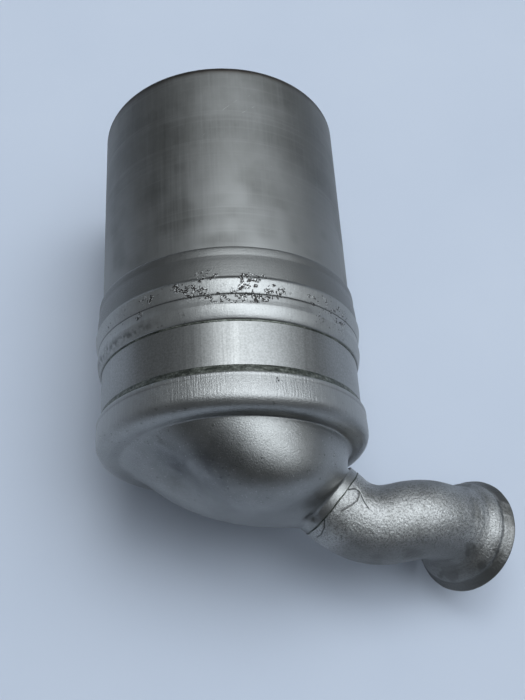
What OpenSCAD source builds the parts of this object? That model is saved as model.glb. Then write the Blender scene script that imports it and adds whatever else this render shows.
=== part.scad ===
// Exhaust particulate filter can with an inlet spigot, a clamp flange, an offset outlet
// cone and a bent outlet pipe that ends in a flare. It lies on its side on a table.
// Millimetres. +Y runs along the can axis towards the inlet, +X towards the outlet
// pipe, +Z up. The origin is on the can axis, level with the upper edge of the flange.

/* [View] */
// Which piece to show
// Facets round a full circle
facets = 96; // [48:8:128]

/* [Can] */
// Outside diameter of the can and its inlet spigot
can_d = 154; // [120:1:200]
// Sheet thickness of the can
can_wall = 1.5; // [1:0.1:3]
// Length of the inlet spigot, from the flange to the mouth
spigot_len = 134.5; // [60:1:200]
// Length of the can on the outlet side of the flange's upper edge
can_tail = 84; // [60:1:120]
// Radius of the rolled lip at the mouth
lip_r = 5; // [3:0.5:8]
// Depth of the shallow groove rolled into the can under the flange's upper edge
groove_depth = 0.4; // [0.1:0.1:0.8]
// Width of that groove
groove_wide = 4; // [2:0.5:6]

/* [Flange] */
// Sheet thickness of the two flange pressings
flange_wall = 2.3; // [1.5:0.1:3]
// Outside radius at the upper edge of the flange
flange_top_r = 79.2; // [78:0.1:82]
// Outside radius of the upper ridge
ridge_r = 80.9; // [79:0.1:86]
// Distance of the upper ridge below the upper edge
ridge_drop = 23.5; // [15:0.5:30]
// Distance of the seam between the two pressings below the upper edge
seam_drop = 30.5; // [25:0.5:36]
// Outside radius at the seam
seam_r = 79; // [78:0.1:80]
// Outside radius of the lower ridge
ridge2_r = 79.7; // [78:0.1:82]
// Distance of the lower ridge below the upper edge
ridge2_drop = 37; // [34:0.5:42]
// Distance of the lower edge of the flange below the upper edge
lap_drop = 45; // [42:0.5:52]

/* [Filter block] */
// Diameter of the ceramic filter block
block_d = 143.8; // [110:0.1:180]
// Length of the ceramic filter block
block_len = 152.4; // [100:0.1:200]
// Distance of the block's inlet face inside the mouth
block_inset = 14; // [8:1:40]
// Side of one square filter segment
segment = 34.3; // [20:0.1:50]
// Cement joint between segments
joint = 1; // [0.5:0.1:2]
// Cement skin round the outside of the block
skin = 1; // [0.5:0.1:2]
// Length of the wire mesh seal at each end of the mat
seal_len = 8; // [4:1:15]

/* [Outlet cone] */
// Sheet thickness of the outlet cone
cone_wall = 2; // [1.5:0.1:3]
// Outside radius of the collar that laps over the can
collar_r = 79.6; // [78:0.1:84]
// Distance of the collar's lead edge below the flange's upper edge
collar_drop = 76; // [66:0.5:80]
// Distance of the flat shelf below the flange's upper edge
shelf_drop = 96; // [90:0.5:104]
// Radius where the shelf ends and the dome rises
dome_base_r = 65.2; // [55:0.1:70]
// Sideways shift of the dome's foot towards the pipe
dome_shift = 2.8; // [0:0.1:10]
// Angle by which the dome wall leans inwards where it leaves the shelf
dome_lean = 40; // [0:1:60]
// How much steeper the dome wall stands on its upper side
dome_stand = 42; // [0:1:50]
// Direction of that steep side round the can, from +X towards +Z
stand_side = 52; // [0:1:180]
// How full the dome is near the shelf, as a share of its slant length
dome_pull = 1.77; // [0.5:0.01:2.5]
// How full the dome is near the neck, as a share of its slant length
neck_pull = 0.1; // [0.05:0.01:1]
// Length of the short neck the pipe is welded to
neck_len = 5; // [3:0.5:12]
// Depth of the pressed recess on the side away from the pipe
recess_depth = 7; // [0:0.5:15]
// How far the dome's foot sweeps out over the shelf
foot_sweep = 5; // [0:0.5:8]

/* [Outlet pipe] */
// Straight length between the neck and the first bend
lead_len = 6; // [2:0.1:20]
// Outside diameter of the outlet pipe
pipe_d = 47.2; // [40:0.1:60]
// Sheet thickness of the outlet pipe
pipe_wall = 1.5; // [1:0.1:3]
// Bend radius of the first bend, on the pipe's centre line
bend1_r = 37.8; // [30:0.1:60]
// Angle of the first bend
bend1 = 49.9; // [20:0.1:90]
// Straight length between the bends
mid_len = 10.1; // [2:0.1:40]
// Bend radius of the second bend
bend2_r = 30; // [28:0.1:60]
// Angle of the second bend
bend2 = 46.2; // [20:0.1:90]
// Outside diameter of the flare's rim
flare_d = 70.4; // [60:0.1:90]
// Length of the flare
flare_len = 26; // [20:0.5:40]

/* [Hidden] */
$fn = facets;
can_r = can_d / 2;
can_in_r = can_r - can_wall;
block_r = block_d / 2;
block_top = spigot_len - block_inset;
block_low = block_top - block_len;
mat_top = block_top - seal_len;
mat_low = block_low + seal_len;
grid = 4 * segment + 3 * joint;
pitch = segment + joint;
pipe_r = pipe_d / 2;
bore_r = pipe_r - pipe_wall;
flare_r = flare_d / 2;
collar_in_r = can_r;
// Centre of the neck's end face, where the pipe is welded on
neck_x = 57.2;
neck_y = -118.9;
neck_z = -22.4;
// The neck's direction: tilt from straight up, then turn about +Z
neck_tilt = 102.7;
neck_turn = -41.3;
// Roll about the pipe's own axis before each bend
roll1 = 99.4;
roll2 = -124.7;
neck_dir = [sin(neck_tilt) * cos(neck_turn), sin(neck_tilt) * sin(neck_turn), cos(neck_tilt)];
// Outline points round the dome and along it
around = 48;
along = 12;
// Depth by which the dome's foot stands into the shelf, so the two fuse
foot_sink = 1;
// Extra radius of the thin seam ring at each joint of the pipe
seam_rise = 0.06;

// ---- helpers ----

// Turns a shape built along +Z so that it lies along the can axis
module on_axis() {
    rotate([-90, 0, 0]) children();
}

// A ring round the can axis from the profile [radius, distance along +Y]
module turned(profile) {
    on_axis() rotate_extrude() polygon(profile);
}

// A plain tube round the can axis
module tube_on_axis(low, top, outer, inner) {
    turned([[inner, low], [outer, low], [outer, top], [inner, top]]);
}

// Points of an arc about a centre, from angle a to angle b
function arc(cx, cy, r, a, b, n) =
    [for (i = [0 : n]) [cx + r * cos(a + (b - a) * i / n), cy + r * sin(a + (b - a) * i / n)]];

// ---- can ----

module filter_can() {
    color([0.62, 0.62, 0.60])
        turned(concat(
            [[can_in_r, -can_tail], [can_r, -can_tail], [can_r, -groove_wide],
                [can_r - groove_depth, -groove_wide / 2], [can_r, 0]],
            arc(can_r - lip_r, spigot_len - lip_r, lip_r, 0, 90, 6),
            arc(can_r - lip_r, spigot_len - lip_r, lip_r - can_wall, 90, 0, 6)));
}

// ---- flange ----

// Outer line of the upper pressing, from its upper edge down to the seam
upper_line = [
    [flange_top_r - 0.9, 0], [flange_top_r - 0.25, -0.35], [flange_top_r, -1.2],
    [flange_top_r + 0.15, -2.6], [flange_top_r + 0.1, -4.2], [flange_top_r - 0.15, -5.6],
    [flange_top_r + 0.05, -6.8], [79.7, -10], [80.05, -14], [80.2, -18], [80.35, -20.5],
    [ridge_r - 0.12, -ridge_drop + 1.8], [ridge_r, -ridge_drop], [ridge_r - 0.15, -ridge_drop - 2],
    [80.2, -27.3], [79.5, -28.9], [seam_r, -seam_drop + 0.6], [seam_r - 0.5, -seam_drop]
];

// Outer line of the lower pressing, from the seam down to its lower edge
lower_line = [
    [seam_r - 0.6, -seam_drop], [seam_r - 0.1, -seam_drop - 0.6], [79.3, -33.5],
    [ridge2_r, -ridge2_drop], [79.5, -39.5], [78.9, -42.2], [78.3, -44.2],
    [77.9, -lap_drop + 0.2], [77.5, -lap_drop]
];

// Inner line of a pressing: one sheet thickness inside, resting on the can
function inner_line(line) =
    [for (i = [len(line) - 1 : -1 : 0]) [max(can_r, line[i][0] - flange_wall), line[i][1]]];

module flange_ring_upper() {
    color([0.72, 0.72, 0.70]) turned(concat(upper_line, inner_line(upper_line)));
}

module flange_ring_lower() {
    color([0.70, 0.70, 0.68]) turned(concat(lower_line, inner_line(lower_line)));
}

module flange_lap_weld() {
    color([0.45, 0.44, 0.42])
        turned([[can_r, -lap_drop], [can_r + 0.45, -lap_drop],
            [can_r + 0.55, -lap_drop - 0.9], [can_r + 0.3, -lap_drop - 1.8],
            [can_r, -lap_drop - 2.2]]);
}

// ---- filter block ----

module support_mat() {
    color([0.86, 0.84, 0.78]) tube_on_axis(mat_low, mat_top, can_in_r, block_r);
}

module inlet_mesh_seal() {
    color([0.5, 0.5, 0.5]) tube_on_axis(mat_top, mat_top + seal_len, can_in_r, block_r);
}

module outlet_mesh_seal() {
    color([0.5, 0.5, 0.5]) tube_on_axis(mat_low - seal_len, mat_low, can_in_r, block_r);
}

// Cross section of the block inside its skin
module core_section() {
    intersection() {
        circle(r = block_r - skin);
        square(grid, center = true);
    }
}

module along_block() {
    translate([0, block_low, 0]) on_axis() linear_extrude(block_len) children();
}

module block_skin() {
    color([0.60, 0.58, 0.54])
        along_block() difference() {
            circle(r = block_r);
            core_section();
        }
}

module segment_cement() {
    color([0.66, 0.64, 0.60])
        along_block() intersection() {
            core_section();
            union() {
                for (i = [-1 : 1]) translate([i * pitch, 0]) square([joint, 2 * block_r], center = true);
                for (i = [-1 : 1]) translate([0, i * pitch]) square([2 * block_r, joint], center = true);
            }
        }
}

// One square filter segment, trimmed to the round outline of the block
module filter_segment(index) {
    column = index % 4;
    row = floor(index / 4);
    color([0.40, 0.39, 0.37])
        along_block() intersection() {
            core_section();
            translate([(column - 1.5) * pitch, (row - 1.5) * pitch]) square(segment, center = true);
        }
}

// ---- outlet cone ----

// Unit vector, cross product and smallest turn from straight along the can to the neck
function unit(v) = v / norm(v);
turn_axis = unit(cross([0, -1, 0], neck_dir));
turn_angle = acos(-neck_dir[1]);
function turned_to_neck(v) =
    v * cos(turn_angle) + cross(turn_axis, v) * sin(turn_angle)
    + turn_axis * (v * turn_axis) * (1 - cos(turn_angle));

// Smooth line from the shelf to the neck: t runs 0 to 1, w is the angle round
function foot(w, r) = [dome_shift + r * cos(w), foot_sink - shelf_drop, r * sin(w)];
function neck_ring(w, r) =
    [neck_x, neck_y, neck_z] - neck_len * neck_dir + turned_to_neck([r * cos(w), 0, r * sin(w)]);
function steep(w) = pow((1 + cos(w - stand_side)) / 2, 3);
function sweep(w, t) = foot_sweep * (1 - steep(w)) * pow(max(0, 1 - t / 0.1), 2);
function lean(w) =
    let (a = dome_lean - dome_stand * steep(w))
    [-cos(w) * sin(a), -cos(a), -sin(w) * sin(a)];
function pull(w) = dome_pull + steep(w);
function loft(w, t, foot_r, neck_r) =
    let (a = foot(w, foot_r), b = neck_ring(w, neck_r), slant = norm(b - a))
    (2 * t * t * t - 3 * t * t + 1) * a
    + (t * t * t - 2 * t * t + t) * pull(w) * slant * lean(w)
    + (3 * t * t - 2 * t * t * t) * b
    + (t * t * t - t * t) * neck_pull * slant * neck_dir
    + sweep(w, t) * [cos(w), 0, sin(w)];

// How far the recess pushes the dome in at a place across the can, never past the shelf
function recess(p) =
    recess_depth * exp(-pow(pow((p[0] + 29) / 19, 2) + pow((p[2] - 24) / 20, 2), 1.3));
function dome_point(w, t, foot_r, neck_r) =
    let (p = loft(w, t, foot_r, neck_r))
    p + [0, min(recess(p), max(0, (-shelf_drop - p[1]) * 0.8)), 0];

// Rows of points from the shelf to the neck, closer together near the shelf, then the neck
function dome_rows(foot_r, neck_r) = concat(
    [for (j = [0 : along - 1], i = [0 : around - 1])
        dome_point(360 * i / around, pow(j / (along - 1), 1.3), foot_r, neck_r)],
    [for (i = [0 : around - 1]) neck_ring(360 * i / around, neck_r) + neck_len * neck_dir]);

module dome() {
    n = around;
    outer = dome_rows(dome_base_r, pipe_r);
    inner = dome_rows(dome_base_r - cone_wall, pipe_r - cone_wall);
    half = len(outer);
    last = along * n;
    sides = [for (j = [0 : along - 1], i = [0 : n - 1], k = [0, 1])
        let (a = j * n + i, b = j * n + (i + 1) % n)
        k == 0 ? [b + n, b, a] : [a + n, b + n, a]];
    backs = [for (f = sides) [f[2] + half, f[1] + half, f[0] + half]];
    foot_cap = [for (i = [0 : n - 1], k = [0, 1])
        let (a = i, b = (i + 1) % n)
        k == 0 ? [a + half, a, b] : [b + half, a + half, b]];
    neck_cap = [for (i = [0 : n - 1], k = [0, 1])
        let (a = last + i, b = last + (i + 1) % n)
        k == 0 ? [b + half, b, a] : [a + half, b + half, a]];
    polyhedron(concat(outer, inner), concat(sides, backs, foot_cap, neck_cap));
}

// Collar, rounded corner and flat shelf, in one turned piece with the dome's foot cut out
module collar() {
    corner = [[collar_r + 0.05, -85], [collar_r, -87.5], [79.4, -89.4], [78.9, -91.1],
        [78, -92.7], [76.8, -94], [75.1, -95.1], [72.5, -shelf_drop]];
    difference() {
        turned(concat(
            [[collar_in_r, -collar_drop], [collar_r - 0.6, -collar_drop],
                [collar_r, -collar_drop - 0.8]],
            corner,
            [[50, -shelf_drop], [50, -shelf_drop + cone_wall], [72, -shelf_drop + cone_wall]],
            [[73.8, -93.2], [75.1, -92.1], [76.2, -90.6], [76.8, -88.8], [collar_in_r, -86.5]]));
        translate([dome_shift, -shelf_drop - 1, 0])
            on_axis() cylinder(r = dome_base_r - cone_wall / 2, h = cone_wall + 2);
    }
}

module outlet_cone() {
    color([0.58, 0.57, 0.54]) {
        collar();
        dome();
    }
}

module cone_weld_bead() {
    color([0.36, 0.35, 0.33])
        turned([[can_r, -collar_drop], [can_r + 1.5, -collar_drop],
            [can_r + 1.15, -collar_drop + 1.4], [can_r + 0.6, -collar_drop + 2.8],
            [can_r, -collar_drop + 4]]);
}

// ---- outlet pipe ----

// Frame at the neck's end face, +Z along the pipe
module at_neck() {
    translate([neck_x, neck_y, neck_z])
        rotate([0, neck_tilt, neck_turn]) rotate([0, 0, roll1]) children();
}

// Ring section of the pipe
module pipe_ring() {
    difference() {
        circle(r = pipe_r);
        circle(r = bore_r);
    }
}

// One bend of the pipe from the local origin, starting along +Z and turning towards +X
module pipe_bend(r, angle) {
    translate([r, 0, 0]) rotate([90, 0, 180])
        rotate_extrude(angle = angle) translate([r, 0]) pipe_ring();
}

// Moves to the far end of a bend
module past_bend(r, angle) {
    translate([r * (1 - cos(angle)), 0, r * sin(angle)]) rotate([0, angle, 0]) children();
}

// The flare, widening in a bell, a crease and a lip
module flare() {
    outer = [[pipe_r, 0], [pipe_r + 0.4, 4], [pipe_r + 1.3, 7.5], [pipe_r + 3.0, 10.8],
        [pipe_r + 5.2, 13.6], [pipe_r + 6.9, 16.2], [pipe_r + 7.7, 18.4], [pipe_r + 8, 20.2],
        [pipe_r + 8.6, 21.2], [flare_r - 0.5, flare_len - 1.5],
        [flare_r, flare_len - 0.9], [flare_r, flare_len]];
    inner = [[flare_r - 1.5, flare_len], [pipe_r + 7.5, flare_len - 3.4],
        [pipe_r + 6.4, 20], [pipe_r + 5.6, 17.4],
        [pipe_r + 3.8, 14.6], [pipe_r + 1.6, 11.6], [bore_r + 1.1, 10.2], [bore_r, 9.2], [bore_r, 0]];
    rotate_extrude() polygon(concat(outer, inner));
}

// Thin seam ring that joins two lengths of the pipe at the local origin
module seam_ring() {
    translate([0, 0, -0.25]) linear_extrude(0.5)
        difference() {
            circle(r = pipe_r + seam_rise);
            circle(r = bore_r - seam_rise);
        }
}

module outlet_pipe() {
    color([0.70, 0.69, 0.66])
        at_neck() {
            linear_extrude(lead_len) pipe_ring();
            translate([0, 0, lead_len]) {
                seam_ring();
                pipe_bend(bend1_r, bend1);
            }
            translate([0, 0, lead_len]) past_bend(bend1_r, bend1) rotate([0, 0, roll2]) {
                seam_ring();
                linear_extrude(mid_len) pipe_ring();
                translate([0, 0, mid_len]) {
                    seam_ring();
                    pipe_bend(bend2_r, bend2);
                    past_bend(bend2_r, bend2) {
                        seam_ring();
                        flare();
                    }
                }
            }
        }
}

module neck_weld_bead() {
    color([0.40, 0.39, 0.37])
        at_neck() rotate_extrude()
            polygon([[pipe_r, -1.1], [pipe_r + 0.4, -0.8], [pipe_r + 0.55, 0],
                [pipe_r + 0.4, 0.8], [pipe_r, 1.1]]);
}

// ---- pieces ----

filter_can();
flange_ring_upper();
flange_ring_lower();
flange_lap_weld();
support_mat();
inlet_mesh_seal();
outlet_mesh_seal();
block_skin();
segment_cement();
filter_segment(0);  // segment_01
filter_segment(1);  // segment_02
filter_segment(2);  // segment_03
filter_segment(3);  // segment_04
filter_segment(4);  // segment_05
filter_segment(5);  // segment_06
filter_segment(6);  // segment_07
filter_segment(7);  // segment_08
filter_segment(8);  // segment_09
filter_segment(9);  // segment_10
filter_segment(10);  // segment_11
filter_segment(11);  // segment_12
filter_segment(12);  // segment_13
filter_segment(13);  // segment_14
filter_segment(14);  // segment_15
filter_segment(15);  // segment_16
cone_weld_bead();
outlet_cone();
neck_weld_bead();
outlet_pipe();
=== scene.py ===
import math

import bpy
import numpy as np
from mathutils import Matrix, Vector


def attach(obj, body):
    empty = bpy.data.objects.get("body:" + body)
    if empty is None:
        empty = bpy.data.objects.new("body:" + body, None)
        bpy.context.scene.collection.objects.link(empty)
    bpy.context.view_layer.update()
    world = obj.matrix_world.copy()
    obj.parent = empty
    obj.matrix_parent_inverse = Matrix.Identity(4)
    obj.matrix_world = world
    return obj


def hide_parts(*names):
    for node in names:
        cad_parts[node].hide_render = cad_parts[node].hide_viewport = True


# Exhaust particulate filter can, in metres. +Y runs along the can axis towards the inlet
# mouth, +X towards the outlet pipe, +Z up. Sizes below are in millimetres; MM turns them
# into metres. The sizes just below are the CAD source's. The outlines and relief further down
# are finer than the CAD, and the upper flange's ridge peaks 1.5 mm nearer the flange's edge.
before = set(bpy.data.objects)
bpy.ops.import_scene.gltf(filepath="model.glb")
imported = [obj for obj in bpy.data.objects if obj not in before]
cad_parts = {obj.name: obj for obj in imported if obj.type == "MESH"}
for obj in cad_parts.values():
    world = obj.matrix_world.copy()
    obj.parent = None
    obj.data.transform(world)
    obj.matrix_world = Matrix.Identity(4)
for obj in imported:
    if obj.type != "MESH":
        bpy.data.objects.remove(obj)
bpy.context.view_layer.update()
MM = 0.001

CAN_R, CAN_WALL = 77.0, 1.5
SPIGOT_LEN, CAN_TAIL, LIP_R = 134.5, 84.0, 5.0
BLOCK_R, BLOCK_TOP, BLOCK_LEN, SKIN, SEAL_LEN = 71.9, 120.5, 152.4, 1.0, 8.0
SEGMENT, JOINT, CELLS, WEB, PLUG = 34.3, 1.0, 19, 0.36, 6.0
SHELF = 96.0
DOME_STAND, STAND_SIDE = 42.0, 52.0
DOME_R, DOME_SHIFT, DOME_LEAN, DOME_PULL, NECK_PULL = 65.2, 2.8, 40.0, 1.77, 0.1
CONE_WALL, FOOT_SWEEP, FOOT_SINK, NECK_LEN = 2.0, 5.0, 1.0, 5.0
RECESS = dict(x=-29.0, z=24.0, wide=19.0, tall=20.0, deep=7.0)
PIPE_R, PIPE_WALL, LEAD, BEND1_R, BEND1 = 23.6, 1.5, 6.0, 37.8, 49.9
MID, BEND2_R, BEND2, FLARE_LEN = 10.1, 30.0, 46.2, 26.0
NECK_AT, NECK_TILT, NECK_TURN = (57.2, -118.9, -22.4), 102.7, -41.3
ROLL1, ROLL2 = 99.4, -124.7
TABLE_Z = -81.0


# ---------------------------------------------------------------- numbers and noise

def smooth(a, b, x):
    """0 at a and beyond, 1 at b and beyond, with a soft ramp between."""
    t = np.clip((x - a) / (b - a), 0, 1)
    return t * t * (3 - 2 * t)


def _hash(ix, iy, iz, seed):
    """A scrambled value from 0 to 1 for each whole-number cell."""
    h = (ix * 374761393 + iy * 668265263 + iz * 1274126177 + seed * 974634777) & 0xFFFFFFFF
    h = ((h ^ (h >> 13)) * 1274126177) & 0xFFFFFFFF
    h = ((h ^ (h >> 16)) * 2246822519) & 0xFFFFFFFF
    return ((h ^ (h >> 15)) & 0xFFFF) / 65535.0


def noise(p, scale, seed=0):
    """Smooth value noise in -1..1 at points p (mm), with features about `scale` mm across."""
    q = np.asarray(p, float) / scale + 1000.0
    i = np.floor(q).astype(np.int64)
    f = q - i
    f = f * f * f * (f * (f * 6 - 15) + 10)
    out = 0
    for dx in (0, 1):
        wx = f[..., 0] if dx else 1 - f[..., 0]
        for dy in (0, 1):
            wy = f[..., 1] if dy else 1 - f[..., 1]
            for dz in (0, 1):
                wz = f[..., 2] if dz else 1 - f[..., 2]
                out = out + wx * wy * wz * _hash(i[..., 0] + dx, i[..., 1] + dy, i[..., 2] + dz, seed)
    return out * 2 - 1


def fbm(p, scale, octaves=3, seed=0, gain=0.5):
    """Noise summed over octaves, still in -1..1."""
    total, amp, norm = 0, 1.0, 0
    for k in range(octaves):
        total = total + amp * noise(p, scale / 2 ** k, seed + 17 * k)
        norm += amp
        amp *= gain
    return total / norm


# ---------------------------------------------------------------- mesh building

def ring_quads(rows, cols):
    """Faces of a grid of points that closes on itself both ways."""
    a = np.arange(rows * cols).reshape(rows, cols)
    b = np.roll(a, -1, axis=1)
    c, d = np.roll(b, -1, axis=0), np.roll(a, -1, axis=0)
    return np.stack([a, b, c, d], -1).reshape(-1, 4)


def mesh_from_grid(name, grid, flip=False, attrs=None):
    """A mesh from a (rows, columns, 3) array in mm that closes on itself both ways."""
    quads = ring_quads(*grid.shape[:2])
    if flip:
        quads = quads[:, ::-1]
    return mesh_from_arrays(name, grid.reshape(-1, 3), quads, attrs)


def mesh_from_arrays(name, verts, quads, attrs=None):
    """A smooth-shaded mesh object from points in mm, with point attributes for its material."""
    me = bpy.data.meshes.new(name)
    verts = np.asarray(verts, float) * MM
    quads = np.asarray(quads, np.int64)
    k = quads.shape[1]
    me.vertices.add(len(verts))
    me.vertices.foreach_set("co", verts.astype(np.float32).ravel())
    me.loops.add(quads.size)
    me.loops.foreach_set("vertex_index", quads.astype(np.int32).ravel())
    me.polygons.add(len(quads))
    me.polygons.foreach_set("loop_start", np.arange(0, quads.size, k, dtype=np.int32))
    me.polygons.foreach_set("use_smooth", np.full(len(quads), True))
    for key, values in (attrs or {}).items():
        layer = me.attributes.new(key, "FLOAT", "POINT")
        layer.data.foreach_set("value", np.asarray(values, np.float32).ravel())
    me.update(calc_edges=True)
    me.validate()
    ob = bpy.data.objects.new(name, me)
    bpy.context.scene.collection.objects.link(ob)
    return ob


def outline(points, step=0.5):
    """Resamples a closed outline of (r, y) evenly, keeping every given corner."""
    pts = [np.array(p, float) for p in points]
    out = []
    for a, b in zip(pts, pts[1:] + pts[:1]):
        n = max(1, int(math.ceil(np.linalg.norm(b - a) / step)))
        out += [a + (b - a) * k / n for k in range(n)]
    return np.array(out)


def lathe(name, profile, columns, wobble, attrs=None):
    """Turns a closed outline of (r, y) round the can axis. wobble(points, r, y, angle) -> dr."""
    prof = np.asarray(profile, float)
    w = np.linspace(0, 2 * math.pi, columns, endpoint=False)
    r = np.repeat(prof[:, 0:1], columns, 1)
    y = np.repeat(prof[:, 1:2], columns, 1)
    a = np.repeat(w[None], len(prof), 0)
    g = np.stack([r * np.sin(a), y, r * np.cos(a)], -1)
    r = r + wobble(g, r, y, a)
    g = np.stack([r * np.sin(a), y, r * np.cos(a)], -1)
    made = {k: f(g, r, y, a) for k, f in (attrs or {}).items()}
    # A profile that runs the other way round would turn the faces inside out.
    area = np.sum(prof[:, 0] * np.roll(prof[:, 1], -1) - np.roll(prof[:, 0], -1) * prof[:, 1])
    return mesh_from_grid(name, g, flip=area > 0, attrs=made)


def place(ob, *nodes, slot, material=None):
    """Puts a piece in place of its CAD nodes, which it hides, and gives it the material if one is given."""
    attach(ob, "root")
    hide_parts(*nodes)
    if material:
        ob.data.materials.clear()
        ob.data.materials.append(material)


# ---------------------------------------------------------------- material building

class Shade:
    """A short way to write one node material."""

    def __init__(self, name):
        self.mat = bpy.data.materials.new(name)
        self.mat.use_nodes = True
        self.t = self.mat.node_tree
        self.n = self.t.nodes
        self.bsdf = self.n["Principled BSDF"]
        self.coord = self.n.new("ShaderNodeTexCoord").outputs["Object"]

    def link(self, a, b):
        self.t.links.new(a, b)

    def put(self, socket, value):
        if isinstance(value, bpy.types.NodeSocket):
            self.link(value, socket)
        else:
            socket.default_value = value

    def scaled(self, x, y, z):
        m = self.n.new("ShaderNodeMapping")
        m.inputs["Scale"].default_value = (x, y, z)
        self.link(self.coord, m.inputs["Vector"])
        return m.outputs["Vector"]

    def noise(self, scale, detail=3, rough=0.55, vec=None, distort=0.0):
        t = self.n.new("ShaderNodeTexNoise")
        t.inputs["Scale"].default_value = scale
        t.inputs["Detail"].default_value = detail
        t.inputs["Roughness"].default_value = rough
        t.inputs["Distortion"].default_value = distort
        self.link(vec or self.coord, t.inputs["Vector"])
        return t.outputs["Fac"]

    def cells(self, scale):
        t = self.n.new("ShaderNodeTexVoronoi")
        t.inputs["Scale"].default_value = scale
        self.link(self.coord, t.inputs["Vector"])
        return t.outputs["Distance"]

    def attr(self, name):
        a = self.n.new("ShaderNodeAttribute")
        a.attribute_name = name
        return a.outputs["Fac"]

    def ramp(self, fac, *stops):
        r = self.n.new("ShaderNodeValToRGB")
        e = r.color_ramp.elements
        while len(e) < len(stops):
            e.new(0.5)
        for el, (pos, col) in zip(e, stops):
            el.position = pos
            el.color = (*col, 1)
        self.link(fac, r.inputs["Fac"])
        return r.outputs["Color"]

    def span(self, value, a, b, c=0.0, d=1.0):
        m = self.n.new("ShaderNodeMapRange")
        m.inputs["From Min"].default_value = a
        m.inputs["From Max"].default_value = b
        m.inputs["To Min"].default_value = c
        m.inputs["To Max"].default_value = d
        self.link(value, m.inputs["Value"])
        return m.outputs["Result"]

    def math(self, op, a, b):
        m = self.n.new("ShaderNodeMath")
        m.operation = op
        self.put(m.inputs[0], a)
        self.put(m.inputs[1], b)
        return m.outputs[0]

    def mix(self, fac, a, b):
        m = self.n.new("ShaderNodeMix")
        m.data_type = "RGBA"
        self.put(m.inputs["Factor"], fac)
        colors = [s for s in m.inputs if s.type == "RGBA"]
        for socket, v in zip(colors, (a, b)):
            self.put(socket, (*v, 1) if isinstance(v, tuple) else v)
        return [s for s in m.outputs if s.type == "RGBA"][0]

    def vec(self, op, a, b=(0, 0, 0)):
        m = self.n.new("ShaderNodeVectorMath")
        m.operation = op
        self.put(m.inputs[0], a)
        self.put(m.inputs[1], b)
        return m.outputs["Value" if op in ("DOT_PRODUCT", "LENGTH") else "Vector"]

    def bump(self, height, strength, distance):
        b = self.n.new("ShaderNodeBump")
        b.inputs["Strength"].default_value = strength
        b.inputs["Distance"].default_value = distance
        self.link(height, b.inputs["Height"])
        return b.outputs["Normal"]

    def finish(self, color, rough, metal, normal=None):
        self.put(self.bsdf.inputs["Base Color"], color)
        self.put(self.bsdf.inputs["Roughness"], rough)
        self.bsdf.inputs["Metallic"].default_value = metal
        if normal is not None:
            self.link(normal, self.bsdf.inputs["Normal"])
        return self.mat


def scratch(s, a, b, wide):
    """Mask of a thin straight scratch between two points in mm."""
    a, b = Vector(a) * MM, Vector(b) * MM
    d = (b - a).normalized()
    off = s.vec("SUBTRACT", s.coord, a)
    along = s.vec("DOT_PRODUCT", off, d)
    side = s.vec("LENGTH", s.vec("CROSS_PRODUCT", off, d))
    line = s.span(side, wide * MM, wide * 0.3 * MM)
    length, fade = (b - a).length, 6 * MM
    ends = s.math("MULTIPLY", s.span(along, 0, fade), s.span(along, length, length - fade))
    return s.math("MULTIPLY", line, ends)


# Scratches on the can: both ends in mm, then the width
SCRATCHES = (((-9, 80, 76.5), (21, 112, 74.1), 0.28), ((3, 98, 76.9), (13, 107, 75.9), 0.2),
             ((14, 96, 75.7), (24, 104, 73.2), 0.18), ((-50, 22, 58.6), (-33, 17, 69.6), 0.25),
             ((30, 60, 70.9), (46, 50, 61.8), 0.15), ((-30, -60, 70.9), (-18, -52, 74.9), 0.15))


def spigot_steel():
    """Dull drawn steel: axial brush streaks, faint rings, scratches, a brown tint at the mouth, and a painted
    sheen towards the flange.
    """
    s = Shade("can_steel_brushed")
    streak = s.noise(1, 4, 0.6, s.scaled(700, 12, 700))
    fine = s.noise(1, 2, 0.5, s.scaled(2200, 60, 2200))
    rings = s.noise(1, 3, 0.6, s.scaled(6, 420, 6))
    cloud = s.noise(22, 4, 0.62)
    smear = s.noise(1, 3, 0.6, s.scaled(60, 20, 60), distort=0.6)
    base = s.mix(s.span(cloud, 0.32, 0.68), (0.14, 0.14, 0.132), (0.235, 0.235, 0.225))
    base = s.mix(s.span(rings, 0.52, 0.72, 0.0, 0.35), base, (0.29, 0.29, 0.28))
    base = s.mix(s.span(streak, 0.40, 0.75, 0.0, 0.3), base, (0.30, 0.30, 0.29))
    base = s.mix(s.span(smear, 0.52, 0.68, 0.0, 0.45), base, (0.17, 0.17, 0.158))
    # painted sheen: the spigot's colour is lighter towards the flange, in noisy patches
    base = s.mix(s.attr("low"), base, (0.31, 0.31, 0.30))
    clean = s.mix(s.span(s.noise(900, 3, 0.7), 0.35, 0.7), (0.26, 0.26, 0.25), (0.37, 0.37, 0.36))
    base = s.mix(s.attr("band"), base, clean)
    base = s.mix(s.attr("tint"), base, (0.062, 0.052, 0.044))
    rough = s.span(s.math("ADD", streak, s.math("MULTIPLY", cloud, 0.8)), 0.5, 1.3, 0.44, 0.60)
    rough = s.math("SUBTRACT", rough, s.math("MULTIPLY", s.attr("band"), 0.17))
    cuts = 0.0
    for a, b, wide in SCRATCHES:
        cuts = s.math("MAXIMUM", cuts, scratch(s, a, b, wide))
    cuts = s.math("MULTIPLY", cuts, s.span(s.noise(260, 2, 0.5), 0.35, 0.6))
    base = s.mix(cuts, base, (0.72, 0.72, 0.70))
    h = s.math("ADD", s.math("MULTIPLY", streak, 0.8), s.math("MULTIPLY", rings, 0.55))
    h = s.math("ADD", s.math("MULTIPLY", fine, 0.4), h)
    h = s.math("SUBTRACT", h, cuts)
    return s.finish(base, rough, 1.0, s.bump(h, 0.22, 0.0002))


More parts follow.
